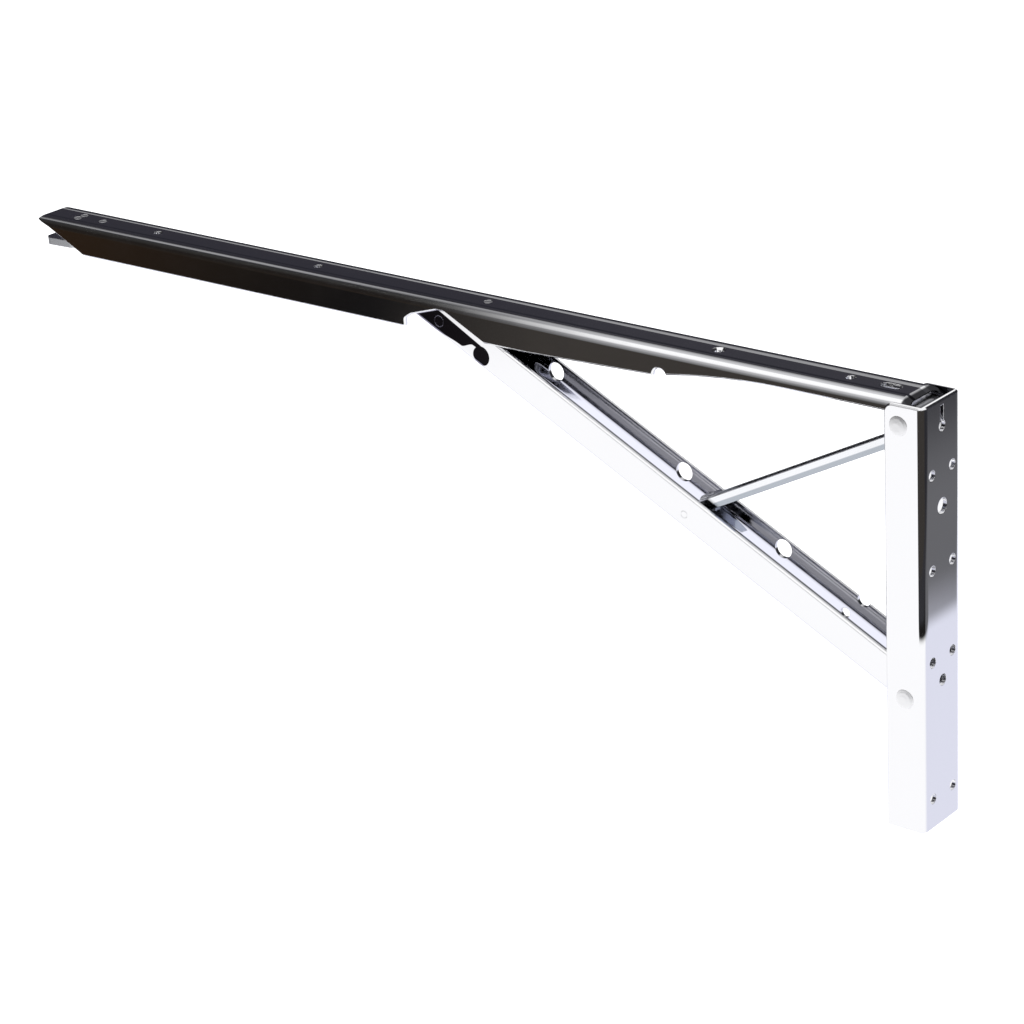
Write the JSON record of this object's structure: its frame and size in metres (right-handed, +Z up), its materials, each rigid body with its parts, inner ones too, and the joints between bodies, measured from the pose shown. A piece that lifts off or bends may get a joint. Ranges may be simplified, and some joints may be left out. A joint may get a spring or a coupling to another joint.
{
  "type": "folding shelf bracket",
  "caption": "Wall-mounted shelf bracket of three nesting folded-sheet channels: a wall plate, an arm that folds down and a locking diagonal strut.",
  "frame": {"origin": "centre of the wall plate's back face, which lies on the wall", "axes": "+X away from the wall along the open arm, +Z up, +Y along the pivot pins"},
  "size_m": [0.5021, 0.0314, 0.1862],
  "materials": {
    "bright_steel": "polished stainless sheet",
    "pin_steel": "smooth rivet steel",
    "fitting_steel": "satin steel",
    "spring_steel": "blued spring steel"
  },
  "bodies": {
    "wall": {"wall_plate": "bright_steel", "arm_pivot_rivet": "pin_steel", "arm_pivot_sleeve": "fitting_steel", "strut_pivot_rivet": "pin_steel", "strut_pivot_sleeve": "fitting_steel", "strut_spacer_left": "fitting_steel", "strut_spacer_right": "fitting_steel"},
    "arm": {"support_arm": "bright_steel", "lever_bracket": "fitting_steel", "lever_bracket_rivet": "pin_steel", "lever_pin": "pin_steel", "lever_guide": "fitting_steel", "lever_guide_rivet": "pin_steel", "lever_spring": "spring_steel", "lever_spring_rivets": "pin_steel"},
    "strut": {"diagonal_strut": "bright_steel", "latch_stud_left": "pin_steel", "latch_stud_right": "pin_steel", "link_pin": "pin_steel", "link_spacer_left": "fitting_steel", "link_spacer_right": "fitting_steel"},
    "link": {"tie_link": "bright_steel"},
    "lever": {"release_lever": "bright_steel", "lever_claw": "bright_steel"}
  },
  "joints": [
    {"name": "arm_fold", "type": "hinge", "parent": "wall", "child": "arm", "pos_m": [0.0112, 0, 0.0838], "axis": [0, 1, 0], "range_deg": [0, 90]},
    {"name": "strut_fold", "type": "hinge", "parent": "wall", "child": "strut", "pos_m": [0.0091, 0, -0.0332], "axis": [0, 1, 0], "range_deg": [0, 116.2]},
    {"name": "link_swing", "type": "hinge", "parent": "strut", "child": "link", "pos_m": [0.11942, 0, 0.02164], "axis": [0, 1, 0], "range_deg": [-53.5, 0]},
    {"name": "lever_press", "type": "hinge", "parent": "arm", "child": "lever", "pos_m": [0.214, 0, 0.0885], "axis": [0, 1, 0], "range_deg": [-1.6, 0], "stiffness_Nm_per_rad": 2, "springref_deg": 8.59, "deforming": ["lever_spring"]}
  ],
  "couplings": [
    {"joint": "strut_fold", "follows": "arm_fold", "ratio": 1.2906},
    {"joint": "link_swing", "follows": "arm_fold", "ratio": -0.59391}
  ]
}
